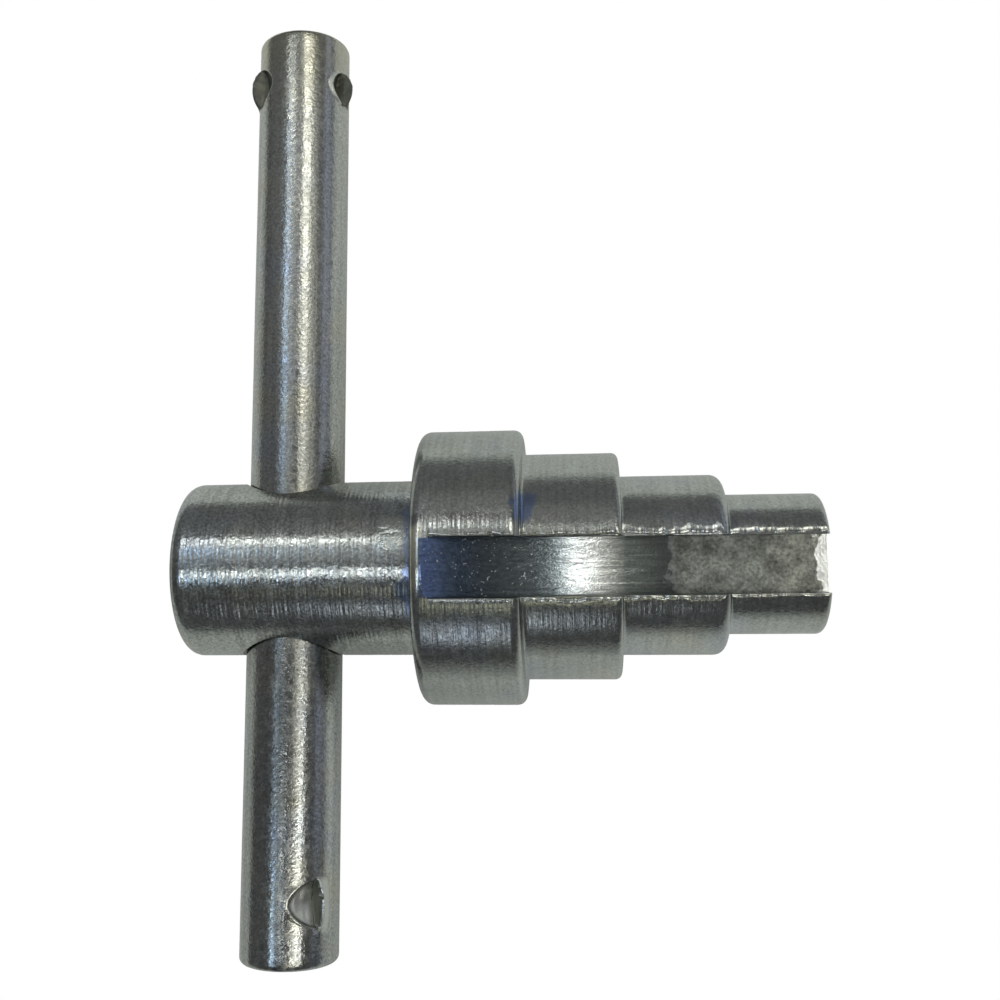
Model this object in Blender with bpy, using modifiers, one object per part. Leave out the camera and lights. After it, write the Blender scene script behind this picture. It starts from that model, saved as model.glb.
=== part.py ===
"""Stepped radiator key: a turned steel body with a sliding tommy bar.

The tool lies flat: +X runs along the key body towards its thin tip, +Y along the bar towards its
longer side, and +Z up, out of one of the two milled slots. The origin is the centre of the bottom
of the tool's bounding box. Units are metres.

Two separate pieces: key_body, and tommy_bar, which slides along Y through the body's cross hole.
"""

import math

import bmesh
import bpy

MM = 0.001

# Turned body. Places along the key are measured from the bar's axis, towards the tip.
HEAD_END = -10.0 * MM
COLLAR_START = 12.45 * MM
COLLAR_LENGTH = 9.4 * MM
SECOND_LENGTH = 8.6 * MM
THIRD_LENGTH = 9.3 * MM
TIP_LENGTH = 8.6 * MM
SECOND_START = COLLAR_START + COLLAR_LENGTH
THIRD_START = SECOND_START + SECOND_LENGTH
TIP_START = THIRD_START + THIRD_LENGTH
TIP_END = TIP_START + TIP_LENGTH

HEAD_RADIUS = 8.15 * MM
COLLAR_RADIUS = 12.7 * MM
SECOND_RADIUS = 10.4 * MM
THIRD_RADIUS = 8.2 * MM
TIP_RADIUS = 6.35 * MM

# Rounded outer edges and the small fillets in the corners between the steps.
HEAD_ROUND = 1.3 * MM
COLLAR_BACK_ROUND = 0.95 * MM
COLLAR_FRONT_ROUND = 0.85 * MM
SECOND_ROUND = 0.6 * MM
THIRD_ROUND = 1.1 * MM
TIP_ROUND = 0.6 * MM
ROOT_FILLET = 0.3 * MM

# Two opposite slots, milled from the tip by a disc cutter that runs out just short of the collar's
# back edge.
SLOT_WIDTH = 5.1 * MM
SLOT_FLOOR = 4.0 * MM
CUTTER_RADIUS = 31.5 * MM
SLOT_RUN_OUT = COLLAR_START + COLLAR_BACK_ROUND + 0.2 * MM
SLOT_CLOCKING = math.radians(4.8)

# Tommy bar. Its reach is measured from the key's axis with the bar where it rests.
BAR_RADIUS = 4.5 * MM
BAR_REACH_LONG = 53.0 * MM
BAR_REACH_SHORT = 35.5 * MM
BAR_ROUND_LONG = 0.4 * MM
BAR_ROUND_SHORT = 0.55 * MM
HOLE_CLEARANCE = 0.3 * MM

# Each end of the bar is staked twice: a chisel dent throws up an ear that can't pass the hole.
# Angles in degrees are around the bar, from +Z towards +X for a dent, and from the dent for its ear.
STAKE_INSET = 5.1 * MM
LONG_END_STAKES = ((-50, -26), (60, 26))
SHORT_END_STAKES = ((34, 26), (-105, -26))
EAR_LENGTH = 4.9 * MM
EAR_THICKNESS = 1.5 * MM
EAR_DEPTH = 3.0 * MM
EAR_CREST = 5.5 * MM
DENT_LENGTH = 4.4 * MM
DENT_WIDTH = 2.8 * MM
DENT_HEIGHT = 3.4 * MM
DENT_DEPTH = 0.75 * MM

TURN_STEPS = 64
ROUND_STEPS = 3
SHARP_ANGLE = math.radians(30)
MERGE = 0.00001
OVERSHOOT = 1.0 * MM

# Where the bar's axis crosses the key's. The collar's back edge, left whole by the slots, stands
# on the ground.
CROSSING = (-(HEAD_END + TIP_END) / 2, (BAR_REACH_SHORT - BAR_REACH_LONG) / 2, COLLAR_RADIUS)


def clear_scene():
    for obj in list(bpy.data.objects):
        bpy.data.objects.remove(obj)


def new_collection(name):
    collection = bpy.data.collections.new(name)
    bpy.context.scene.collection.children.link(collection)
    return collection


def metal(name, color, roughness):
    material = bpy.data.materials.new(name)
    material.use_nodes = True
    shader = material.node_tree.nodes["Principled BSDF"]
    shader.inputs["Base Color"].default_value = (*color, 1.0)
    shader.inputs["Metallic"].default_value = 1.0
    shader.inputs["Roughness"].default_value = roughness
    return material


def convex_round(radius, end, size, towards_top):
    """Points of an outer edge's rounding: from the flat end into the side, or from the side out."""
    points = []
    for step in range(ROUND_STEPS + 1):
        angle = math.pi / 2 * step / ROUND_STEPS
        out = radius - size + size * math.sin(angle)
        if towards_top:
            points.append((out, end - size + size * math.cos(angle)))
        else:
            points.append((out, end + size - size * math.cos(angle)))
    return points if towards_top else points[::-1]


def root_fillet(radius, face, size):
    """Points of the hollow corner where a side of this radius meets the wider step's flat face."""
    points = []
    for step in range(ROUND_STEPS + 1):
        angle = math.pi / 2 * step / ROUND_STEPS
        points.append((radius + size - size * math.cos(angle), face + size - size * math.sin(angle)))
    return points


def turned(name, profile, collection):
    """A solid of revolution about its own Z; the profile runs from its top end to its bottom end."""
    mesh = bpy.data.meshes.new(name)
    outline = [(0.0, profile[0][1])] + profile + [(0.0, profile[-1][1])]
    edges = [(i, i + 1) for i in range(len(outline) - 1)]
    mesh.from_pydata([(r, 0.0, z) for r, z in outline], edges, [])
    obj = bpy.data.objects.new(name, mesh)
    collection.objects.link(obj)
    screw = obj.modifiers.new("turn", "SCREW")
    screw.steps = TURN_STEPS
    screw.render_steps = TURN_STEPS
    screw.use_merge_vertices = True
    screw.merge_threshold = MERGE
    return obj


def key_profile():
    """The body's outer side from the tip down to the head: five cylinders with rounded edges."""
    profile = convex_round(TIP_RADIUS, TIP_END, TIP_ROUND, True)
    steps = (
        (TIP_RADIUS, TIP_START, THIRD_RADIUS, THIRD_ROUND),
        (THIRD_RADIUS, THIRD_START, SECOND_RADIUS, SECOND_ROUND),
        (SECOND_RADIUS, SECOND_START, COLLAR_RADIUS, COLLAR_FRONT_ROUND),
    )
    for inner, face, outer, rounding in steps:
        profile += root_fillet(inner, face, ROOT_FILLET)
        profile += convex_round(outer, face, rounding, True)
    profile += convex_round(COLLAR_RADIUS, COLLAR_START, COLLAR_BACK_ROUND, False)
    under_collar = root_fillet(HEAD_RADIUS, -COLLAR_START, ROOT_FILLET)
    profile += [(radius, -place) for radius, place in reversed(under_collar)]
    profile += convex_round(HEAD_RADIUS, HEAD_END, HEAD_ROUND, False)
    return profile


def bar_profile():
    top = convex_round(BAR_RADIUS, BAR_REACH_LONG, BAR_ROUND_LONG, True)
    return top + convex_round(BAR_RADIUS, -BAR_REACH_SHORT, BAR_ROUND_SHORT, False)


def slot_cutter(name, turn, guides, parent):
    """The path of the disc cutter seen from the side, as thick as the slot is wide."""
    center_height = SLOT_FLOOR + CUTTER_RADIUS
    center_x = SLOT_RUN_OUT + math.sqrt(CUTTER_RADIUS**2 - (center_height - COLLAR_RADIUS) ** 2)
    outside = COLLAR_RADIUS + OVERSHOOT
    entry = math.acos((center_height - outside) / CUTTER_RADIUS)
    arc_steps = 12
    outline = []
    for step in range(arc_steps + 1):
        angle = entry * (1 - step / arc_steps)
        x = center_x - CUTTER_RADIUS * math.sin(angle)
        outline.append((x, center_height - CUTTER_RADIUS * math.cos(angle)))
    outline.append((TIP_END + OVERSHOOT, SLOT_FLOOR))
    outline.append((TIP_END + OVERSHOOT, outside))

    curve = bpy.data.curves.new(name, "CURVE")
    curve.dimensions = "2D"
    curve.fill_mode = "BOTH"
    curve.extrude = SLOT_WIDTH / 2
    spline = curve.splines.new("POLY")
    spline.points.add(len(outline) - 1)
    for point, (x, height) in zip(spline.points, outline):
        point.co = (x, height, 0.0, 1.0)
    spline.use_cyclic_u = True
    drawn = bpy.data.objects.new(name + "_outline", curve)
    guides.objects.link(drawn)
    bpy.context.view_layer.update()
    evaluated = drawn.evaluated_get(bpy.context.evaluated_depsgraph_get())
    mesh = bpy.data.meshes.new_from_object(evaluated)
    bpy.data.objects.remove(drawn)

    shape = bmesh.new()
    shape.from_mesh(mesh)
    bmesh.ops.remove_doubles(shape, verts=shape.verts, dist=MERGE)
    bmesh.ops.recalc_face_normals(shape, faces=shape.faces)
    shape.to_mesh(mesh)
    shape.free()
    cutter = bpy.data.objects.new(name, mesh)
    guides.objects.link(cutter)
    cutter.parent = parent
    cutter.rotation_euler = (math.pi / 2 + turn, 0.0, 0.0)
    return hide_guide(cutter)


def hole_cutter(guides, parent):
    bpy.ops.mesh.primitive_cylinder_add(
        vertices=TURN_STEPS, radius=BAR_RADIUS + HOLE_CLEARANCE, depth=4 * HEAD_RADIUS
    )
    cutter = adopt("cross_hole_cutter", guides, parent)
    cutter.rotation_euler = (-math.pi / 2, 0.0, 0.0)
    return hide_guide(cutter)


def adopt(name, collection, parent):
    """Names the object that a primitive operator has just added and files it where it belongs."""
    obj = bpy.context.object
    obj.name = name
    for other in list(obj.users_collection):
        other.objects.unlink(obj)
    collection.objects.link(obj)
    obj.parent = parent
    return obj


def hide_guide(obj):
    obj.hide_render = True
    obj.display_type = "WIRE"
    return obj


def stake_ball(name, size, angle, radius, along, guides, parent):
    """An egg-shaped solid on the bar: size is its extent around, along and out of the bar.

    The angle goes around the bar from +Z towards +X, and radius is the distance of its centre.
    """
    bpy.ops.mesh.primitive_uv_sphere_add(segments=16, ring_count=10, radius=0.5)
    ball = adopt(name, guides, parent)
    for vertex in ball.data.vertices:
        vertex.co = [co * extent for co, extent in zip(vertex.co, size)]
    ball.rotation_euler = (0.0, angle, 0.0)
    ball.location = (radius * math.sin(angle), along, radius * math.cos(angle))
    return hide_guide(ball)


def combine(obj, other, operation):
    boolean = obj.modifiers.new(other.name, "BOOLEAN")
    boolean.operation = operation
    boolean.solver = "EXACT"
    boolean.object = other


def finish(obj, material):
    """Makes the modifiers' result the object's own mesh and shades its round sides smooth."""
    bpy.context.view_layer.update()
    evaluated = obj.evaluated_get(bpy.context.evaluated_depsgraph_get())
    mesh = bpy.data.meshes.new_from_object(evaluated)
    obj.modifiers.clear()
    obj.data = mesh
    mesh.name = obj.name
    mesh.shade_smooth()
    mesh.set_sharp_from_angle(angle=SHARP_ANGLE)
    mesh.materials.clear()
    mesh.materials.append(material)


def key_body(tool, guides, parent):
    body = turned("key_body", key_profile(), tool)
    body.parent = parent
    body.rotation_euler = (0.0, math.pi / 2, 0.0)
    combine(body, hole_cutter(guides, parent), "DIFFERENCE")
    for name, turn in (("upper_slot_cutter", 0.0), ("lower_slot_cutter", math.pi)):
        combine(body, slot_cutter(name, SLOT_CLOCKING + turn, guides, parent), "DIFFERENCE")
    finish(body, metal("zinc_plated_turned_steel", (0.51, 0.53, 0.50), 0.34))
    return body


def tommy_bar(tool, guides, parent):
    bar = turned("tommy_bar", bar_profile(), tool)
    bar.parent = parent
    bar.rotation_euler = (-math.pi / 2, 0.0, 0.0)
    ends = (
        ("long", BAR_REACH_LONG - STAKE_INSET, LONG_END_STAKES),
        ("short", STAKE_INSET - BAR_REACH_SHORT, SHORT_END_STAKES),
    )
    ear_size = (EAR_THICKNESS, EAR_LENGTH, EAR_DEPTH)
    dent_size = (DENT_WIDTH, DENT_LENGTH, DENT_HEIGHT)
    ear_radius = EAR_CREST - EAR_DEPTH / 2
    dent_radius = BAR_RADIUS - DENT_DEPTH + DENT_HEIGHT / 2
    for end, along, stakes in ends:
        for number, (dent_angle, ear_offset) in enumerate(stakes):
            name = f"{end}_end_dent_{number + 1}"
            angle = math.radians(dent_angle)
            dent = stake_ball(name, dent_size, angle, dent_radius, along, guides, parent)
            combine(bar, dent, "DIFFERENCE")
            name = f"{end}_end_ear_{number + 1}"
            angle = math.radians(dent_angle + ear_offset)
            ear = stake_ball(name, ear_size, angle, ear_radius, along, guides, parent)
            combine(bar, ear, "UNION")
    finish(bar, metal("zinc_plated_drawn_steel", (0.52, 0.53, 0.50), 0.28))
    return bar


def main():
    clear_scene()
    tool = new_collection("radiator_key")
    guides = new_collection("cutters")
    crossing = bpy.data.objects.new("crossing", None)
    crossing.location = CROSSING
    tool.objects.link(crossing)
    key_body(tool, guides, crossing)
    tommy_bar(tool, guides, crossing)


main()
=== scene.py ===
"""Visual model of the stepped radiator key: a turned and plated steel body and its tommy bar.

Both CAD solids are replaced by detailed meshes. The frame is the CAD's: +X along the key towards
its thin tip, +Y along the bar towards its longer side, +Z up out of one slot. Shapes are worked
out in millimetres from the point where the bar's axis crosses the key's, and MM turns them into
Blender's metres.
"""

import math

import bmesh
import bpy
import numpy as np
from mathutils import Euler, Matrix, Vector


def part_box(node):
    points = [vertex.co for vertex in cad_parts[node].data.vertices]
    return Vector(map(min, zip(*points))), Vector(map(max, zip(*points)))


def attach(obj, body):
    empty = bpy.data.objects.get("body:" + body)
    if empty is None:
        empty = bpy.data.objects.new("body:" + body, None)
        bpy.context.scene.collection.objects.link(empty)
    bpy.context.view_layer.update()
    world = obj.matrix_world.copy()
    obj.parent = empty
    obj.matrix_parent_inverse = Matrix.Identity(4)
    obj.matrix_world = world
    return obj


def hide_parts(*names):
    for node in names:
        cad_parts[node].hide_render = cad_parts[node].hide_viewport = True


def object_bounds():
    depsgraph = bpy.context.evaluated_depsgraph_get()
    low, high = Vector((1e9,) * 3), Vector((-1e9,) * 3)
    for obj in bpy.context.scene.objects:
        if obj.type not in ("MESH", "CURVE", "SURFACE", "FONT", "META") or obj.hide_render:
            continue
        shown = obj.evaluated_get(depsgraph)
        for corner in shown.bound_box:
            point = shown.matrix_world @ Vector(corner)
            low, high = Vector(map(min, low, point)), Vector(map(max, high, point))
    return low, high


MM = 0.001

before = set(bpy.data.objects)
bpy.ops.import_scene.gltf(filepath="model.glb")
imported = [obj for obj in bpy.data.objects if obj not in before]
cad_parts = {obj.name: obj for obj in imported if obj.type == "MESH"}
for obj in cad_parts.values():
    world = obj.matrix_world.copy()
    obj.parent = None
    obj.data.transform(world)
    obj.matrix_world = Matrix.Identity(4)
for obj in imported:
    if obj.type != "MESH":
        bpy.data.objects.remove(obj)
cad_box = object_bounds()

key_low, key_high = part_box("key_body")
bar_low, bar_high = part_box("tommy_bar")

# The crossing of the axes is in metres, and everything else is in millimetres from it.
HEAD_END = -10.0
CROSSING = Vector(
    (key_low.x - HEAD_END * MM, (key_low.y + key_high.y) / 2, (key_low.z + key_high.z) / 2)
)
TIP_END = (key_high.x - CROSSING.x) / MM
BAR_TOP = (bar_high.y - CROSSING.y) / MM
BAR_BOTTOM = (bar_low.y - CROSSING.y) / MM

COLLAR_START = 12.45
SECOND_START = 21.85
THIRD_START = 30.45
TIP_START = 39.75
HEAD_RADIUS = 8.15
COLLAR_RADIUS = 12.7
SECOND_RADIUS = 10.4
THIRD_RADIUS = 8.2
TIP_RADIUS = 6.35
HEAD_ROUNDING = 1.3
COLLAR_ROUNDING = 0.95
TIP_ROUNDING = 0.6
ROOT_FILLET = 0.3
KEY_COLUMNS = 96

BAR_RADIUS = 4.5
HOLE_RADIUS = 4.8
BAR_TOP_ROUNDING = 0.4
BAR_BOTTOM_ROUNDING = 0.55
BAR_COLUMNS = 320

SLOT_WIDTH = 5.1
SLOT_FLOOR = 4.0
CUTTER_RADIUS = 31.5
SLOT_RUN_OUT = 13.6
SLOT_CLOCKING = math.radians(4.8)
CUTTER_HEIGHT = SLOT_FLOOR + CUTTER_RADIUS
CUTTER_PLACE = SLOT_RUN_OUT + math.sqrt(
    CUTTER_RADIUS**2 - (CUTTER_HEIGHT - COLLAR_RADIUS) ** 2
)
# Material numbers on the key body.
TURNED, MILLED, WALL = 0, 1, 2


# ---------------------------------------------------------------- meshes


def grid_noise(seed, u, v, wrap=None):
    """Smooth value noise in -1..1 at points (u, v), which may repeat every `wrap` units of v."""
    size = 512
    rng = np.random.default_rng(seed)
    table = rng.uniform(-1, 1, (size, size))
    iu, iv = np.floor(u).astype(int), np.floor(v).astype(int)
    fu, fv = u - iu, v - iv
    fu, fv = fu * fu * (3 - 2 * fu), fv * fv * (3 - 2 * fv)
    size_v = wrap or size
    a = table[iu % size, iv % size_v]
    b = table[(iu + 1) % size, iv % size_v]
    c = table[iu % size, (iv + 1) % size_v]
    d = table[(iu + 1) % size, (iv + 1) % size_v]
    return (a * (1 - fu) + b * fu) * (1 - fv) + (c * (1 - fu) + d * fu) * fv


def mesh_object(name, vertices, faces):
    """An object from points in millimetres about the crossing."""
    mesh = bpy.data.meshes.new(name)
    mesh.from_pydata([tuple(v) for v in np.asarray(vertices) * MM], [], faces)
    obj = bpy.data.objects.new(name, mesh)
    bpy.context.scene.collection.objects.link(obj)
    return obj


def loft(name, points):
    """A closed solid through rings of points, given as an array (rings, columns, 3)."""
    rings, columns = points.shape[:2]
    index = np.arange(rings * columns).reshape(rings, columns)
    right = np.roll(index, -1, axis=1)
    quads = np.stack((index[:-1], right[:-1], right[1:], index[1:]), axis=-1).reshape(-1, 4)
    faces = quads.tolist()
    faces.append(index[0][::-1].tolist())
    faces.append(index[-1].tolist())
    obj = mesh_object(name, points.reshape(-1, 3), faces)
    fix_normals(obj)
    return obj


def around(columns):
    """The angles of a lathe's columns."""
    return np.linspace(0, 2 * math.pi, columns, endpoint=False)


def unrolled(places, columns):
    """The place along the axis and the turn around it, in whole turns, at each point of a lathe."""
    return np.meshgrid(places, around(columns) / (2 * math.pi), indexing="ij")


def lathe(name, places, radii, columns, offsets=0.0):
    """A solid of revolution about X; offsets is added to the radii, and may be (rings, columns)."""
    angles = around(columns)
    radius = np.repeat(np.asarray(radii)[:, None], columns, axis=1) + offsets
    x = np.repeat(np.asarray(places)[:, None], columns, axis=1)
    return loft(name, np.stack((x, radius * np.sin(angles), radius * np.cos(angles)), axis=-1))


def fix_normals(obj):
    """Turn all faces to point out."""
    shape = bmesh.new()
    shape.from_mesh(obj.data)
    bmesh.ops.recalc_face_normals(shape, faces=shape.faces)
    shape.to_mesh(obj.data)
    shape.free()


def subtract(obj, cutter):
    """Cut one closed solid out of another, and remove the cutter."""
    modifier = obj.modifiers.new(cutter.name, "BOOLEAN")
    modifier.operation = "DIFFERENCE"
    modifier.solver = "MANIFOLD"
    modifier.object = cutter
    bpy.context.view_layer.update()
    evaluated = obj.evaluated_get(bpy.context.evaluated_depsgraph_get())
    mesh = bpy.data.meshes.new_from_object(evaluated)
    obj.modifiers.clear()
    old = obj.data
    obj.data = mesh
    bpy.data.meshes.remove(old)
    bpy.data.objects.remove(cutter)


def arc(center_x, center_r, size, start, end, steps):
    """(place, radius) points along an arc of a turned outline, from one angle to another."""
    turn = np.linspace(math.radians(start), math.radians(end), steps + 1)
    return [(center_x + size * math.cos(a), center_r + size * math.sin(a)) for a in turn]


def key_outline():
    """(place, radius) from the head end to the tip, corners rounded as in the CAD."""
    line = arc(HEAD_END + HEAD_ROUNDING, HEAD_RADIUS - HEAD_ROUNDING, HEAD_ROUNDING, 180, 90, 10)
    line += arc(COLLAR_START - ROOT_FILLET, HEAD_RADIUS + ROOT_FILLET, ROOT_FILLET, 270, 360, 3)
    center = (COLLAR_START + COLLAR_ROUNDING, COLLAR_RADIUS - COLLAR_ROUNDING)
    line += arc(*center, COLLAR_ROUNDING, 180, 90, 8)
    steps = (
        (SECOND_START, COLLAR_RADIUS, 0.85, SECOND_RADIUS),
        (THIRD_START, SECOND_RADIUS, 0.6, THIRD_RADIUS),
        (TIP_START, THIRD_RADIUS, 1.1, TIP_RADIUS),
    )
    for place, radius, rounding, inner in steps:
        line += arc(place - rounding, radius - rounding, rounding, 90, 0, 7)
        line += arc(place + ROOT_FILLET, inner + ROOT_FILLET, ROOT_FILLET, 180, 270, 3)
    line += arc(TIP_END - TIP_ROUNDING, TIP_RADIUS - TIP_ROUNDING, TIP_ROUNDING, 90, 0, 6)
    return line


def groove_depths(places):
    """Turning grooves: a scalloped profile with uneven pitch and depth, in millimetres."""
    rng = np.random.default_rng(11)
    depth = np.zeros(len(places))
    edge = places[0]
    while edge < places[-1]:
        coarse = edge < SECOND_START
        pitch = (0.40 if coarse else 0.26) * rng.uniform(0.85, 1.15)
        height = (0.012 if coarse else 0.006) * rng.uniform(0.4, 1.3)
        inside = (places >= edge) & (places < edge + pitch)
        along = (places[inside] - edge) / pitch
        depth[inside] = -height * (1 - (2 * along - 1) ** 2)
        edge += pitch
    return depth


def fine_outline():
    """The key's outline with enough rings for its grooves, as arrays of places and radii."""
    outline = key_outline()
    places, radii = [outline[0][0]], [outline[0][1]]
    for (x0, r0), (x1, r1) in zip(outline[:-1], outline[1:]):
        length = math.hypot(x1 - x0, r1 - r0)
        spacing = 0.1 if abs(x1 - x0) > 1.5 else 0.3
        count = max(1, int(round(length / spacing)))
        for step in range(1, count + 1):
            places.append(x0 + (x1 - x0) * step / count)
            radii.append(r0 + (r1 - r0) * step / count)
    return np.array(places), np.array(radii)


def key_body():
    """The turned body with its grooves, both slots and the cross hole."""
    places, radii = fine_outline()
    # The rings of a flat face share one place, so a tiny step between them keeps the slope finite.
    slope = np.gradient(radii, places + np.arange(len(places)) * 1e-9)
    level = np.clip(1 - np.abs(slope), 0, 1)[:, None]
    x, turns = unrolled(places, KEY_COLUMNS)
    wobble = 0.004 * grid_noise(3, x / 1.1 + 40, turns * 24, 24)
    uneven = 1 + 0.35 * grid_noise(4, x / 0.4 + 40, turns * 16, 16)
    grooves = groove_depths(places)[:, None] * uneven
    obj = lathe("key_body_turned", places, radii, KEY_COLUMNS, level * (grooves + wobble))

    # Each step's start, end and radius, and the widths worn off the slot's upper and lower edges.
    lands = (
        (SLOT_RUN_OUT + 0.5, SECOND_START, COLLAR_RADIUS, 0.55, 0.40),
        (SECOND_START, THIRD_START, SECOND_RADIUS, 0.75, 0.80),
        (THIRD_START, TIP_START, THIRD_RADIUS, 1.00, 0.60),
        (TIP_START, TIP_END, TIP_RADIUS, 1.05, 0.55),
    )
    slots, edges = [], []
    for slot, turn in enumerate((0.0, math.pi)):
        slots.append(slot_cutter(turn))
        for number, land in enumerate(lands):
            edges += edge_cutters(land, turn, 50 + 10 * slot + number)
    subtract(obj, joined(slots))
    subtract(obj, joined(edges))
    sort_slot_faces(obj.data)
    obj.data.transform(Matrix.Rotation(SLOT_CLOCKING, 4, "X"))
    subtract(obj, hole_cutter())
    return obj


def sort_slot_faces(mesh):
    """Give the slots' floors and walls their material numbers, before the body is clocked."""
    for _ in (TURNED, MILLED, WALL):
        mesh.materials.append(None)
    count = len(mesh.polygons)
    centers, normals = np.zeros(count * 3), np.zeros(count * 3)
    mesh.polygons.foreach_get("center", centers)
    mesh.polygons.foreach_get("normal", normals)
    x, y, z = centers.reshape(-1, 3).T / MM
    along = np.clip(CUTTER_PLACE - x, 0, CUTTER_RADIUS)
    floor = CUTTER_HEIGHT - np.sqrt(CUTTER_RADIUS**2 - along**2)
    inside = (np.abs(y) < SLOT_WIDTH / 2 + 0.01) & (x > SLOT_RUN_OUT - 0.2) & (np.abs(z) > 2.5)
    low = inside & (np.abs(z) < floor + 0.12) & (x < TIP_END - 0.02)
    wall = inside & (np.abs(normals.reshape(-1, 3)[:, 1]) > 0.95)
    sort = np.where(wall, WALL, np.where(low, MILLED, TURNED)).astype(np.int32)
    mesh.polygons.foreach_set("material_index", sort)


def edge_cutters(land, turn, seed):
    """What comes off both edges of a slot along one step, to leave them rounded and ragged."""
    start, end, radius, upper, lower = land
    spacing = 0.11
    places = np.arange(start + 0.02, end + spacing + 0.02, spacing)
    half = SLOT_WIDTH / 2
    corner = math.sqrt(radius**2 - half**2)
    bend = np.linspace(0, 1, 5)[:, None]
    sections = []
    for place in places:
        section = []
        for side, width in ((1, upper), (-1, lower)):
            u, v = np.array([place]), np.array([0.0])
            ragged = grid_noise(seed + side, u / 1.3 + 9, v)
            ragged = ragged + 0.6 * grid_noise(seed, u / 0.35 + 9, v)
            wide = width * (1 + 0.32 * float(ragged[0]))
            deep = 0.45 * wide
            end_y = half + wide
            end_z = math.sqrt((radius + 0.015) ** 2 - end_y**2)
            # A curve from the slot's wall over the corner to the outside of the step.
            a = np.array((half, corner - deep))
            b = np.array((half + 0.02, corner))
            c = np.array((end_y, end_z))
            curve = (1 - bend) ** 2 * a + 2 * bend * (1 - bend) * b + bend**2 * c
            line = [(half - 0.3, corner - deep)] + curve.tolist() + [(end_y + 0.02, corner + 0.7)]
            line = [(side * y, z) for y, z in line]
            section += line if side == 1 else line[::-1]
        sections.append([(place, y, z) for y, z in section])
    shape = np.array(sections)
    points = len(bend) + 2
    cutters = [loft("upper_edge", shape[:, :points]), loft("lower_edge", shape[:, points:])]
    for cutter in cutters:
        cutter.data.transform(Matrix.Rotation(turn, 4, "X"))
    return cutters


def joined(objects):
    """One object from separate closed solids."""
    shape = bmesh.new()
    for obj in objects:
        shape.from_mesh(obj.data)
    first, *others = objects
    shape.to_mesh(first.data)
    shape.free()
    for obj in others:
        bpy.data.objects.remove(obj)
    return first


def hole_cutter():
    """A rod along Y, for the bar's cross hole."""
    ends = (-12.0, 0.0, 12.0)
    obj = lathe("hole_cutter", ends, np.full(len(ends), HOLE_RADIUS), KEY_COLUMNS)
    obj.data.transform(Matrix.Rotation(math.pi / 2, 4, "Z"))
    return obj


def slot_cutter(turn):
    """The slot's space: its floor follows the disc cutter and carries fine milling marks."""
    top = COLLAR_RADIUS + 1.0
    start_angle = math.acos((CUTTER_HEIGHT - top) / CUTTER_RADIUS)
    arc_angles = np.linspace(-start_angle, 0, 121)
    floor_x = CUTTER_PLACE + CUTTER_RADIUS * np.sin(arc_angles)
    floor_z = CUTTER_HEIGHT - CUTTER_RADIUS * np.cos(arc_angles)
    near_tip = TIP_END - 1.8
    flat_x = np.linspace(CUTTER_PLACE, near_tip, 45)[1:]
    flat_x = np.concatenate((flat_x, np.linspace(near_tip, TIP_END + 0.6, 25)[1:]))
    floor_x = np.concatenate((floor_x, flat_x))
    floor_z = np.concatenate((floor_z, np.full(len(flat_x), SLOT_FLOOR)))
    across = np.linspace(-SLOT_WIDTH / 2, SLOT_WIDTH / 2, 37)
    rng = np.random.default_rng(7)
    lines = rng.uniform(-1, 1, len(across)) * 0.007
    rows, cols = len(floor_x), len(across)
    x = np.repeat(floor_x[:, None], cols, axis=1)
    y = np.repeat(across[None, :], rows, axis=0)
    patch = grid_noise(21, x / 2.6 + 30, y / 0.8 + 30) * 0.010
    sawn = grid_noise(22, x / 0.35 + 30, y / 0.3 + 30) * 0.012 * (x > CUTTER_PLACE + 0.2)
    # The floor slopes down just before the tip's end.
    worn_from = TIP_END - 0.95 - 0.35 * grid_noise(23, 0 * x + 3.5, y / 0.7 + 30)
    worn = np.clip(x - worn_from, 0, None)
    z = floor_z[:, None] + lines[None, :] * (x < CUTTER_PLACE) + patch + sawn - 0.20 * worn
    z[0, :] = top
    bottom = np.stack((x, y, z), axis=-1).reshape(-1, 3)
    lid = [(x[-1, 0], y[-1, 0], top), (x[-1, -1], y[-1, -1], top)]
    low_lid, high_lid = len(bottom), len(bottom) + 1
    vertices = np.concatenate((bottom, lid))
    index = np.arange(rows * cols).reshape(rows, cols)
    quads = (index[:-1, :-1], index[:-1, 1:], index[1:, 1:], index[1:, :-1])
    faces = np.stack(quads, axis=-1).reshape(-1, 4).tolist()
    # Both side walls, the end past the tip, and the lid.
    faces.append(index[:, 0].tolist() + [low_lid])
    faces.append(index[:, -1].tolist()[::-1] + [high_lid])
    faces.append(index[-1, :].tolist() + [high_lid, low_lid])
    faces.append(index[0, :].tolist()[::-1] + [low_lid, high_lid])
    obj = mesh_object("slot_cutter", vertices, faces)
    obj.data.transform(Matrix.Rotation(turn, 4, "X"))
    fix_normals(obj)
    return obj


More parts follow.
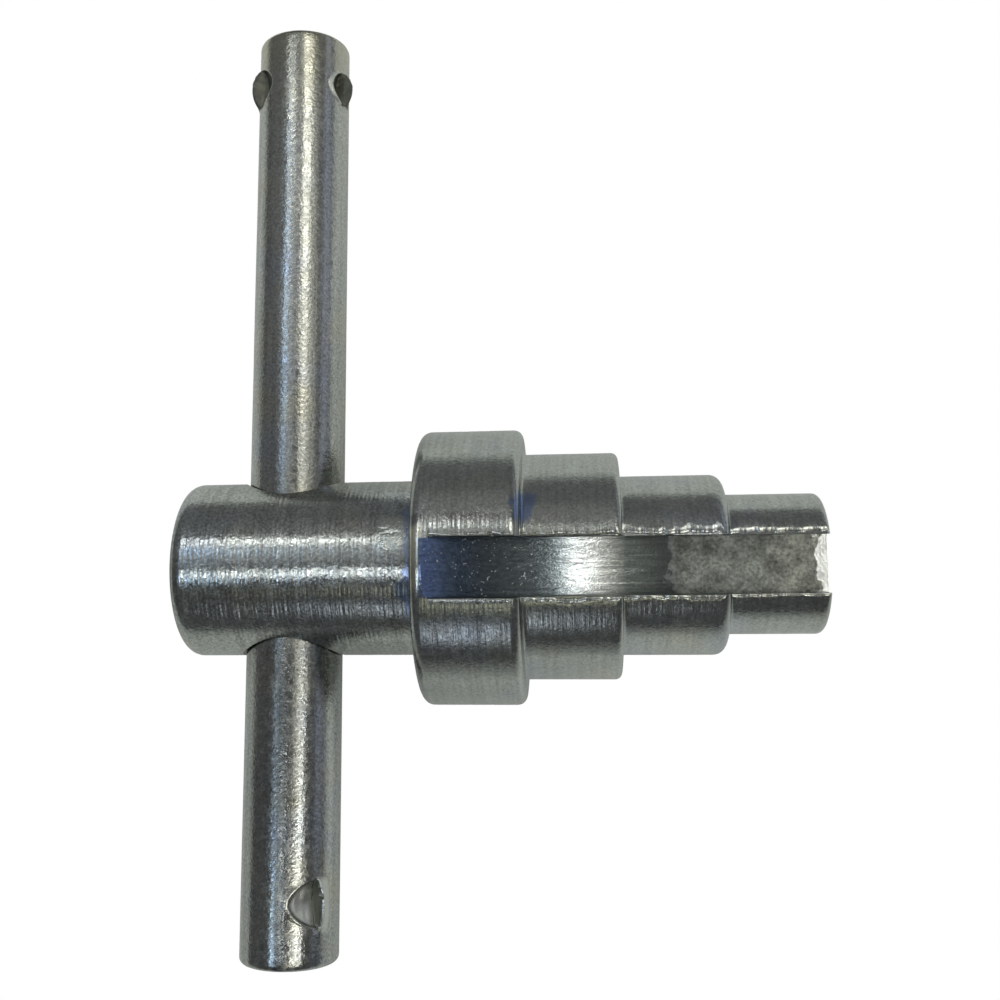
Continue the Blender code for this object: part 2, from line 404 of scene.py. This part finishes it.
def stake(u, t, crest, half, width, burr):
    """One stake: its height, and how far each point is dent, steep metal, ear and burr.

    u runs around the bar towards the ear and t along the bar, both from the foot of the ear. The
    dent goes from its left edge, where it may have a burr, down to the wall under the ear's crest.
    """
    rim_width, rise_width, fall_width = 0.25, 0.36, 1.2
    reach = np.clip(1 - np.abs(t / half) ** 1.7, 0, 1)
    wall = -0.22 * np.clip(t / half, 0, 1) ** 1.5
    reached = np.maximum(width * reach**0.68, 1e-6)
    left = wall - reached
    ramp = np.clip((u - left) / reached, 0, 1)
    rim = np.clip((u - left) / rim_width, 0, 1)
    facets = 0.13 * grid_noise(41, u / 0.55 + 20, t / 1.1 + 20)
    bottom = -(0.26 * rim + 0.46 * ramp + facets * rim) * reach**0.35
    rise = np.clip((u - wall) / rise_width, 0, 1)
    rise = rise * rise * (3 - 2 * rise)
    fall = np.clip((u - wall - rise_width) / fall_width, 0, 1)
    top = crest * np.clip(1 - (t / (half + 0.12)) ** 2, 0, 1) ** 0.7
    ear = bottom * (1 - rise) + top * rise
    ear = np.where(u > wall + rise_width, top * (1 - fall) ** 1.5, ear)
    lip = burr * np.exp(-(((left - 0.26 - u) / 0.22) ** 2)) * (reach > 0) * reach**0.25
    inside = (u < wall) & (reach > 0)
    height = np.where(inside, np.where(u > left, bottom, lip), np.where(u >= wall, ear, 0.0))
    dent = np.clip(-height / 0.25, 0, 1)
    steep = (u > wall - 0.12) * (u < wall + 0.26) * np.clip(top / 0.3, 0, 1)
    steep += 0.7 * (u > left) * (u < left + 0.16) * (reach > 0.05)
    outside = (u > wall + 0.1) * np.clip(height / 0.08, 0, 1)
    burred = np.clip(lip / 0.05, 0, 1) * (u < left) * (burr > 0.1)
    return height, dent, np.clip(steep, 0, 1), outside, burred


def tommy_bar():
    """The drawn bar with its four stakes.

    Each stake has its place along the bar, degrees from +Z to +X, the side its ear is on, the
    ear's crest, the dent's half length and width, the height of the burr along the dent's edge,
    and how much darker the dent and the ear are made, where less than 0 is freshly cut.
    """
    stakes = (
        (BAR_TOP - 5.05, -59.0, -1, 0.92, 1.90, 2.1, 0.0, 1.0, 1.0),
        (BAR_TOP - 5.15, 70.0, 1, 0.95, 1.60, 1.45, 0.22, 1.0, 1.0),
        (BAR_BOTTOM + 5.6, 45.5, 1, 0.60, 2.05, 2.70, 0.05, -0.7, -0.8),
        (BAR_BOTTOM + 5.3, -118.0, -1, 0.75, 1.95, 2.2, 0.05, 0.8, 0.5),
    )
    centers = np.array([row[0] for row in stakes])
    rings, y = [], BAR_BOTTOM + BAR_BOTTOM_ROUNDING
    while y < BAR_TOP - BAR_TOP_ROUNDING:
        rings.append(y)
        y += 0.08 if np.abs(centers - y).min() < 2.3 else 0.6
    rings.append(BAR_TOP - BAR_TOP_ROUNDING)
    size = BAR_BOTTOM_ROUNDING
    low = arc(BAR_BOTTOM + size, BAR_RADIUS - size, size, 180, 90, 6)[:-1]
    size = BAR_TOP_ROUNDING
    high = arc(BAR_TOP - size, BAR_RADIUS - size, size, 90, 0, 5)[1:]
    places = np.array([p for p, _ in low] + rings + [p for p, _ in high])
    radii = np.array([r for _, r in low] + [BAR_RADIUS] * len(rings) + [r for _, r in high])
    angles = around(BAR_COLUMNS)
    along, turns = unrolled(places, BAR_COLUMNS)
    offsets = 0.012 * grid_noise(31, along / 9.0 + 10, turns * 9, 9)
    offsets += 0.003 * grid_noise(32, along / 1.8 + 60, turns * 30, 30)
    stake_shade_and_cut = np.zeros_like(offsets)
    for center, degrees, side, crest, half, width, burr, dark_dent, dark_ear in stakes:
        # lathe() measures angles from +Z towards +Y about X. Once the bar is turned to lie along
        # +Y, they run from +Z towards -X, so a stake's degrees count the other way.
        turn = (-angles - math.radians(degrees) + math.pi) % (2 * math.pi) - math.pi
        u = side * turn[None, :] * BAR_RADIUS
        shape = stake(u, places[:, None] - center, crest, half, width, burr)
        height, dent, steep, outside, burred = shape
        offsets += height
        # Dents and ears are made darker, or bright where freshly cut; steep metal gets painted
        # shade and the burr a painted highlight.
        stake_darkening = np.where(outside > 0, outside * dark_ear, dent * dark_dent)
        stake_darkening = np.where(steep > 0.05, np.maximum(steep * 0.9, stake_darkening), stake_darkening)
        stake_shade_and_cut += stake_darkening * (1 - burred) - burred
    obj = lathe("tommy_bar_drawn", places, radii, BAR_COLUMNS, offsets)
    mark = obj.data.attributes.new("stake_shade_and_cut", "FLOAT", "POINT")
    mark.data.foreach_set("value", np.clip(stake_shade_and_cut, -1, 1).ravel().astype(np.float32))
    obj.data.transform(Matrix.Rotation(math.pi / 2, 4, "Z"))
    return obj


def finish_piece(obj, sharp, materials, body, node):
    """Put a piece in its place, shade it smooth up to the sharp angle, and join it to its body."""
    obj.data.transform(Matrix.Translation(CROSSING))
    obj.data.shade_smooth()
    obj.data.set_sharp_from_angle(angle=math.radians(sharp))
    while len(obj.data.materials) < len(materials):
        obj.data.materials.append(None)
    for number, material in enumerate(materials):
        obj.data.materials[number] = material
    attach(obj, body)
    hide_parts(node)


# ---------------------------------------------------------------- materials


class Nodes:
    """Short calls for building a node tree."""

    def __init__(self, tree):
        self.tree = tree

    def add(self, kind, inputs=(), **settings):
        node = self.tree.nodes.new(kind)
        for name, value in settings.items():
            setattr(node, name, value)
        for name, value in dict(inputs).items():
            self.put(node.inputs[name], value)
        return node

    def put(self, socket, value):
        if isinstance(value, bpy.types.NodeSocket):
            self.tree.links.new(value, socket)
        else:
            socket.default_value = value

    def math(self, operation, *values):
        node = self.tree.nodes.new("ShaderNodeMath")
        node.operation = operation
        for socket, value in zip(node.inputs, values):
            self.put(socket, value)
        return node.outputs[0]

    def times(self, first, *others):
        for value in others:
            first = self.math("MULTIPLY", first, value)
        return first

    def plus(self, first, *others):
        for value in others:
            first = self.math("ADD", first, value)
        return first

    def place(self):
        """Where a point is on its object, in metres."""
        return self.add("ShaderNodeTexCoord").outputs["Object"]

    def scaled(self, vector, scale):
        node = self.add("ShaderNodeMapping")
        self.put(node.inputs["Vector"], vector)
        node.inputs["Scale"].default_value = scale
        return node.outputs[0]

    def distance(self, vector, point=(0.0, 0.0, 0.0)):
        inputs = {0: vector, 1: point}
        return self.add("ShaderNodeVectorMath", inputs, operation="DISTANCE").outputs["Value"]

    def noise(self, vector, scale, detail=2.0, roughness=0.5):
        inputs = {"Vector": vector, "Scale": scale, "Detail": detail, "Roughness": roughness}
        return self.add("ShaderNodeTexNoise", inputs).outputs["Fac"]

    def ramp(self, value, low, high, to_low=0.0, to_high=1.0):
        """to_low at low and to_high at high, straight between and level beyond them."""
        inputs = {
            "Value": value,
            "From Min": low,
            "From Max": high,
            "To Min": to_low,
            "To Max": to_high,
        }
        return self.add("ShaderNodeMapRange", inputs).outputs["Result"]

    def millimetres(self, place):
        """x, y and z in millimetres from the crossing."""
        moved = self.add("ShaderNodeVectorMath", {0: place}, operation="SUBTRACT")
        moved.inputs[1].default_value = CROSSING
        sized = self.scaled(moved.outputs[0], (1000.0, 1000.0, 1000.0))
        return self.add("ShaderNodeSeparateXYZ", {"Vector": sized}).outputs

    def band(self, value, low, high, soft):
        """1 from low to high, fading to 0 over a width of soft on both sides."""
        away = self.math("ABSOLUTE", self.math("SUBTRACT", value, (low + high) / 2))
        half = (high - low) / 2
        return self.ramp(away, half + soft / 2, half - soft / 2)

    def shaded(self, color, shade):
        node = self.add("ShaderNodeVectorMath", {0: color, "Scale": shade}, operation="SCALE")
        return node.outputs[0]

    def mix(self, factor, a, b):
        """Color a where the factor is 0 and color b where it is 1."""
        node = self.add("ShaderNodeMix", data_type="RGBA")
        self.put(node.inputs[0], factor)
        self.put(node.inputs[6], a)
        self.put(node.inputs[7], b)
        return node.outputs[2]

    def mix_values(self, factor, a, b):
        return self.add("ShaderNodeMix", {0: factor, 2: a, 3: b}, data_type="FLOAT").outputs[0]

    def bump(self, shader, height, distance, strength=1.0):
        inputs = {"Height": height, "Strength": strength, "Distance": distance}
        self.put(shader.inputs["Normal"], self.add("ShaderNodeBump", inputs).outputs[0])


PLATE = (0.51, 0.53, 0.50, 1)
BAR_PLATE = (0.52, 0.53, 0.50, 1)
STRAW = (0.60, 0.58, 0.45, 1)
BLUE_TARNISH = (0.24, 0.33, 0.55, 1)
COLLAR_PAINTED_SHADE = (0.25, 0.245, 0.235, 1)
TOP_PAINTED_SHADE = (0.14, 0.15, 0.15, 1)
RIM_HIGHLIGHT = (0.95, 0.93, 0.76, 1)
SCUFFED = (0.88, 0.92, 0.84, 1)
STAKE_DARK_AND_SHADE = (0.15, 0.155, 0.125, 1)
FRESH_CUT_AND_HIGHLIGHT = (0.90, 0.92, 0.86, 1)


def new_material(name):
    material = bpy.data.materials.new(name)
    material.use_nodes = True
    tree = material.node_tree
    return material, Nodes(tree), tree.nodes["Principled BSDF"]


def new_metal(name):
    """A metal's material, its nodes, its shader and where a point is on the object."""
    material, n, shader = new_material(name)
    shader.inputs["Metallic"].default_value = 1.0
    return material, n, shader, n.place()


def zinc_color(n, place, streaks, body, cool, warm, contrast=1.0):
    """Plating: faint cool and warm passivate clouds, fine streaks, bright and dark grains."""
    cloud = n.ramp(n.noise(place, 170.0, 3.0), 0.52, 0.74, 0.0, 0.35)
    color = n.mix(cloud, body, cool)
    haze = n.ramp(n.noise(place, 230.0, 2.0), 0.52, 0.76, 0.0, 0.35)
    color = n.mix(haze, color, warm)
    grain = n.ramp(n.noise(place, 4400.0, 3.0), 0.32, 0.68, -0.28, 0.28)
    streak = n.ramp(streaks, 0.34, 0.66, -0.11, 0.11)
    return n.shaded(color, n.plus(n.times(n.plus(grain, streak), contrast), 1.0))


def plated_turned():
    """The turned body's bright plating, with its tarnished corners and scuffs, painted shade along
    the collar and a painted highlight on its rim.
    """
    material, n, shader, place = new_metal("plated_turned_steel")
    x, y, z = n.millimetres(place)
    rings = n.noise(n.scaled(place, (1.0, 0.03, 0.03)), 2700.0, 1.0)
    cool, warm = (0.44, 0.50, 0.60, 1), (0.56, 0.54, 0.43, 1)
    contrast = n.ramp(x, 12.0, 12.6, 1.1, 0.65)
    color = zinc_color(n, place, rings, PLATE, cool, warm, contrast)

    # Painted shade: a darker band along the collar, dimming its highlight.
    collar_shade = n.times(n.band(y, 2.7, 3.5, 0.5), n.band(x, 12.6, 21.8, 0.1))
    color = n.mix(n.times(collar_shade, 0.6), color, COLLAR_PAINTED_SHADE)
    # Blue tarnish on the head beside the collar, and between the collar and the second step.
    ragged = n.plus(x, n.ramp(n.noise(place, 800.0, 2.0), 0.3, 0.7, -0.6, 0.6))
    neck = n.times(n.band(ragged, 11.3, 12.9, 0.5), n.ramp(z, 5.9, 7.4), n.ramp(x, 12.5, 12.4))
    ledge = n.times(n.band(ragged, 21.4, 22.7, 0.5), n.band(y, 3.0, 5.6, 0.7), n.ramp(z, 8.0, 8.8))
    color = n.mix(n.times(n.plus(neck, ledge), 0.8), color, BLUE_TARNISH)
    # A painted highlight: the collar's edge where the slot runs out, painted bright.
    rim = n.times(n.band(x, 12.5, 13.6, 0.3), n.band(y, -2.8, 2.4, 0.6))
    color = n.mix(rim, color, RIM_HIGHLIGHT)
    # Scuffs on the head beside the collar.
    scuff = n.times(n.band(x, 9.2, 11.5, 0.9), n.band(y, 0.8, 3.6, 1.2))
    color = n.mix(n.times(scuff, 0.7), color, SCUFFED)
    n.put(shader.inputs["Base Color"], color)

    scuff = n.times(scuff, n.noise(place, 2600.0, 2.0))
    rough = n.ramp(n.noise(place, 1500.0, 3.0), 0.3, 0.7, 0.12, 0.28)
    n.put(shader.inputs["Roughness"], n.plus(rough, n.times(scuff, 0.08)))
    lines = n.noise(n.scaled(place, (1.0, 0.06, 0.06)), 4300.0, 2.0)
    peel = n.noise(place, 3600.0, 2.0)
    n.bump(shader, n.plus(n.times(lines, 0.9), n.times(peel, 0.7), n.times(scuff, 6.5)), 0.00002)
    return material


def milled_floor():
    """Cutter lines along the slot up to where the cutter stopped feeding, and torn metal beyond."""
    material, n, shader, place = new_metal("milled_slot_floor")
    x = n.millimetres(place)[0]
    ragged = n.math("SUBTRACT", x, n.times(n.noise(place, 900.0, 3.0), 3.0))
    torn = n.ramp(ragged, CUTTER_PLACE - 2.3, CUTTER_PLACE - 1.5)
    chipped = n.plus(x, n.ramp(n.noise(place, 1100.0, 2.0), 0.3, 0.7))
    worn = n.ramp(chipped, TIP_END - 0.55, TIP_END - 0.4)

    # From the torn metal back: painted shade, a painted highlight, darker painted shade with a
    # bluish tint, and blue where the slot runs out.
    color = n.mix(n.ramp(x, 28.3, 31.0), (0.92, 0.94, 0.92, 1), (0.25, 0.28, 0.27, 1))
    color = n.mix(n.ramp(x, 28.4, 24.6), color, (0.28, 0.325, 0.34, 1))
    color = n.mix(n.ramp(x, 20.0, 16.5), color, (0.12, 0.155, 0.19, 1))
    color = n.mix(n.ramp(x, 15.8, 13.8, 0.0, 0.8), color, (0.18, 0.24, 0.40, 1))
    nearer = n.ramp(x, TIP_END - 7.0, TIP_END - 3.0)
    color = n.mix(torn, color, n.mix(nearer, (0.25, 0.265, 0.24, 1), (0.33, 0.34, 0.30, 1)))

    scratches = n.noise(n.scaled(place, (0.05, 1.0, 1.0)), 3300.0, 2.0)
    scratches = n.times(scratches, n.ramp(x, 25.5, 28.0, 1.0, 0.5))
    fine = n.ramp(scratches, 0.17, 0.66, 0.70, 1.35)
    coarse = n.ramp(n.noise(place, 3300.0, 3.0, 0.6), 0.30, 0.70, 0.55, 1.45)
    coarse = n.times(coarse, n.ramp(n.noise(place, 700.0, 3.0), 0.3, 0.7, 0.60, 1.45))
    color = n.shaded(color, n.mix_values(torn, fine, coarse))
    sparks = n.ramp(n.noise(place, 3000.0, 1.0), 0.68, 0.72)
    sparks = n.times(sparks, n.ramp(x, 33.0, 20.0))
    color = n.mix(sparks, color, (0.85, 0.88, 0.85, 1))
    color = n.mix(worn, color, (0.88, 0.90, 0.88, 1))
    n.put(shader.inputs["Base Color"], color)

    rough = n.ramp(torn, 0.0, 1.0, 0.20, 0.42)
    n.put(shader.inputs["Roughness"], n.plus(rough, n.times(worn, -0.12)))
    speckle = n.noise(place, 4800.0, 2.0)
    milled = n.plus(n.times(scratches, 0.7), n.times(n.plus(speckle, sparks), 0.35))
    n.bump(shader, n.mix_values(torn, milled, n.times(speckle, 1.3)), 0.00003)
    return material


def slot_wall():
    """Dull cut faces, painted dark as the shade inside the slot."""
    material, n, shader, place = new_metal("sawn_slot_wall")
    shade = n.ramp(n.noise(place, 1600.0, 3.0), 0.35, 0.7)
    n.put(shader.inputs["Base Color"], n.mix(shade, (0.10, 0.11, 0.11, 1), (0.24, 0.26, 0.25, 1)))
    shader.inputs["Roughness"].default_value = 0.5
    lines = n.noise(n.scaled(place, (0.06, 1.0, 1.0)), 4200.0, 2.0)
    n.bump(shader, lines, 0.00004, strength=0.8)
    return material


def plated_drawn():
    """The bar's plating, straw towards its long end, painted shade along its top, and its stakes,
    darker or freshly cut, with painted shade on their steep metal and a painted highlight on the
    burr.
    """
    material, n, shader, place = new_metal("plated_drawn_steel")
    x, y, z = n.millimetres(place)
    drawn = n.noise(n.scaled(place, (1.0, 0.04, 1.0)), 1500.0, 2.0)
    cool, warm = (0.43, 0.49, 0.62, 1), (0.60, 0.57, 0.42, 1)
    color = zinc_color(n, place, drawn, BAR_PLATE, cool, warm)
    color = n.mix(n.ramp(y, BAR_TOP - 9.0, BAR_TOP - 2.0, 0.0, 0.6), color, STRAW)

    # Painted shade: a dark band along the top of the bar, towards its long end and on its short
    # side.
    upper = n.ramp(y, BAR_TOP - 7.0, BAR_TOP - 4.0, 0.0, 0.6)
    lower = n.ramp(y, -6.0, -12.0, 0.0, 0.8)
    ridge = n.times(n.plus(upper, lower), n.band(x, -0.40, 0.55, 0.40), n.ramp(z, 4.1, 4.3))
    color = n.mix(ridge, color, TOP_PAINTED_SHADE)

    # Stake marks: darker dents and ears, painted shade on steep metal, bright freshly cut metal,
    # and a painted highlight on the burr.
    stake_shade_and_cut = n.add("ShaderNodeAttribute", attribute_name="stake_shade_and_cut").outputs["Fac"]
    color = n.mix(n.ramp(stake_shade_and_cut, 0.0, 1.0, 0.0, 0.92), color, STAKE_DARK_AND_SHADE)
    color = n.mix(n.ramp(stake_shade_and_cut, 0.0, -1.0), color, FRESH_CUT_AND_HIGHLIGHT)
    n.put(shader.inputs["Base Color"], color)

    rough = n.ramp(n.noise(place, 1500.0, 3.0), 0.3, 0.7, 0.14, 0.32)
    cut = n.ramp(n.math("ABSOLUTE", stake_shade_and_cut), 0.0, 1.0, 0.0, 0.30)
    n.put(shader.inputs["Roughness"], n.plus(rough, cut))
    peel = n.noise(place, 3400.0, 2.0)
    n.bump(shader, n.plus(n.times(drawn, 0.5), peel), 0.000026)
    return material


# ---------------------------------------------------------------- stage, light and camera


PURE_WHITE = (1.0, 1.0, 1.0, 1)
FLOOR_GAP = 0.02
FLOOR_SIDE = 3000


def white_to_camera(n, kind, lit, surface):
    """Let the camera see plain white there, and every other ray what is lit."""
    seen = n.add(kind, {"Color": PURE_WHITE, "Strength": 1.0})
    choice = n.add("ShaderNodeMixShader")
    n.put(choice.inputs["Fac"], n.add("ShaderNodeLightPath").outputs["Is Camera Ray"])
    n.put(choice.inputs[1], lit.outputs[0])
    n.put(choice.inputs[2], seen.outputs[0])
    n.put(surface, choice.outputs[0])


def lay_floor():
    """A floor that is white to the camera. The metal reflects a pool of light around the key."""
    z = (cad_box[0][2] - CROSSING.z) / MM - FLOOR_GAP
    side = FLOOR_SIDE
    corners = [(-side, -side, z), (side, -side, z), (side, side, z), (-side, side, z)]
    floor = mesh_object("floor", corners, [(0, 1, 2, 3)])
    floor.location = CROSSING
    material, n, shader = new_material("pale_floor")
    shader.inputs["Base Color"].default_value = (0.5, 0.51, 0.5, 1)
    shader.inputs["Roughness"].default_value = 0.9
    shader.inputs["Specular IOR Level"].default_value = 0.1
    shader.inputs["Emission Color"].default_value = (0.96, 1.0, 0.95, 1)

    # Metres from the crossing: a wide painted pool of light, dark under the key, with a painted
    # shadow just behind its head.
    place = n.place()
    x, y, _ = n.add("ShaderNodeSeparateXYZ", {"Vector": place}).outputs
    pool = n.ramp(n.distance(place), 0.30, 0.12, 0.0, 0.34)
    open_sky = n.add("ShaderNodeAmbientOcclusion", {"Distance": 0.03}, samples=8).outputs["AO"]
    behind_head = {0: place, 1: (-0.027, 0.0, 0.0)}
    behind_head = n.add("ShaderNodeVectorMath", behind_head, operation="SUBTRACT").outputs[0]
    lee = n.ramp(n.distance(n.scaled(behind_head, (50.0, 110.0, 0.0))), 0.7, 1.3)
    # Painted shadow towards -X and -Y, in a spot to the lower right of the bar, and far to the
    # lower right.
    slant = n.ramp(n.plus(x, n.times(y, 0.6)), -0.045, -0.012, 0.60, 1.0)
    spot = n.ramp(n.distance(place, (0.012, -0.037, 0.0)), 0.010, 0.030, 0.55, 1.0)
    corner = n.ramp(n.math("SUBTRACT", x, y), 0.06, 0.16, 1.0, 0.35)
    glow = n.times(pool, open_sky, n.times(lee, slant), spot, corner)
    n.put(shader.inputs["Emission Strength"], glow)
    surface = n.tree.nodes["Material Output"].inputs["Surface"]
    white_to_camera(n, "ShaderNodeEmission", shader, surface)
    floor.data.materials.append(material)


ROOM_COLOR = (0.076, 0.078, 0.081)
WHITE = (0.98, 1.0, 1.0)
CREAM = (1.0, 0.985, 0.88)
BLUE = (0.55, 0.74, 1.0)
OLIVE = (1.0, 1.0, 0.70)
# u, v, half width, half height, softness across u and v, strength, color
SOFTBOXES = (
    (-0.32, 0.62, 0.17, 0.045, 0.05, 0.05, 4.4, WHITE),
    (0.20, 0.66, 0.20, 0.055, 0.12, 0.08, 0.70, WHITE),
    (-0.19, -0.185, 0.11, 0.040, 0.08, 0.04, 6.0, (0.94, 0.98, 1.0)),
    (-0.45, 0.36, 0.06, 0.09, 0.10, 0.10, 3.2, BLUE),
    (-0.46, 0.14, 0.05, 0.13, 0.10, 0.15, 0.95, BLUE),
    (-0.47, -0.10, 0.06, 0.09, 0.10, 0.10, 0.35, BLUE),
    (-0.50, -0.30, 0.07, 0.09, 0.08, 0.08, 4.4, BLUE),
    (-0.42, 0.58, 0.07, 0.10, 0.12, 0.10, 0.4, WHITE),
    (0.40, 0.47, 0.17, 0.17, 0.22, 0.12, 2.8, CREAM),
    (0.40, 0.12, 0.17, 0.13, 0.22, 0.12, 0.62, CREAM),
    (0.31, -0.10, 0.12, 0.13, 0.14, 0.10, 0.12, CREAM),
    (0.50, -0.32, 0.22, 0.09, 0.22, 0.08, 4.4, CREAM),
    (0.88, 0.38, 0.30, 0.34, 0.50, 0.20, 0.38, CREAM),
    (0.655, -0.11, 0.065, 0.06, 0.07, 0.05, 6.5, WHITE),
    (-0.18, 0.26, 0.20, 0.20, 0.15, 0.15, 0.25, WHITE),
    (0.10, 0.45, 0.40, 0.15, 0.30, 0.20, 0.08, WHITE),
    (-0.90, 0.55, 0.60, 0.15, 0.40, 0.20, 0.06, WHITE),
    (-0.10, 1.20, 0.30, 0.45, 0.30, 0.60, 0.09, (1.0, 0.97, 0.95)),
    (0.0, 10.8, 8.0, 10.6, 1.0, 0.6, 0.06, WHITE),
    (10.5, 3.7, 8.0, 4.3, 1.5, 0.8, 0.32, (0.70, 0.77, 1.0)),
    (-0.21, -1.95, 0.10, 0.60, 0.06, 0.50, 1.25, (0.80, 0.88, 1.0)),
    (0.0, -0.68, 0.13, 0.12, 0.10, 0.15, 0.66, OLIVE),
)


def set_world():
    """A dark room over the floor, lit by softboxes on a far ceiling, and white to the camera.

    Places on the ceiling are tangents of the lean from straight up: u towards +X, v towards +Y.
    """
    world = bpy.data.worlds.new("studio")
    world.use_nodes = True
    bpy.context.scene.world = world
    n = Nodes(world.node_tree)
    direction = n.add("ShaderNodeTexCoord").outputs["Generated"]
    x, y, z = n.add("ShaderNodeSeparateXYZ", {"Vector": direction}).outputs
    height = n.math("MAXIMUM", z, 0.05)
    u = n.math("DIVIDE", x, height)
    v = n.math("DIVIDE", y, height)
    total = n.add("ShaderNodeRGB").outputs[0]
    total.default_value = (*ROOM_COLOR, 1)
    for center_u, center_v, half_u, half_v, soft_u, soft_v, strength, color in SOFTBOXES:
        across = window(n, u, center_u, half_u, soft_u)
        along = window(n, v, center_v, half_v, soft_v)
        glow = n.shaded(color, n.times(across, along, strength))
        total = n.add("ShaderNodeVectorMath", {0: total, 1: glow}, operation="ADD").outputs[0]
    background = world.node_tree.nodes["Background"]
    n.put(background.inputs["Color"], total)
    background.inputs["Strength"].default_value = 1.0
    surface = world.node_tree.nodes["World Output"].inputs["Surface"]
    white_to_camera(n, "ShaderNodeBackground", background, surface)


def window(n, value, center, half, soft):
    """1 inside center +- half, fading to 0 over a width of soft."""
    inputs = {
        "Value": n.math("ABSOLUTE", n.math("SUBTRACT", value, center)),
        "From Min": half + soft / 2,
        "From Max": half - soft / 2,
    }
    node = n.add("ShaderNodeMapRange", inputs, interpolation_type="SMOOTHSTEP")
    return node.outputs["Result"]


CAMERA_PLACE = Vector((26.275, -8.961, 108.075))
CAMERA_TURN = (9.012, 6.594, -0.078)


def set_camera():
    """A camera above the key, near enough to show perspective."""
    camera = bpy.data.cameras.new("camera")
    obj = bpy.data.objects.new("camera", camera)
    bpy.context.scene.collection.objects.link(obj)
    obj.location = CROSSING + CAMERA_PLACE * MM
    obj.rotation_euler = Euler([math.radians(a) for a in CAMERA_TURN])
    camera.lens = 41.66
    camera.sensor_width = 36.0
    camera.shift_x = 0.06
    camera.shift_y = -0.02
    camera.clip_start = 0.005
    bpy.context.scene.camera = obj


key = key_body()
key_materials = [plated_turned(), milled_floor(), slot_wall()]
finish_piece(key, 40, key_materials, "key_body", "key_body")
bar = tommy_bar()
finish_piece(bar, 80, [plated_drawn()], "tommy_bar", "tommy_bar")

lay_floor()
set_world()
set_camera()
bpy.context.scene.view_settings.view_transform = "Standard"
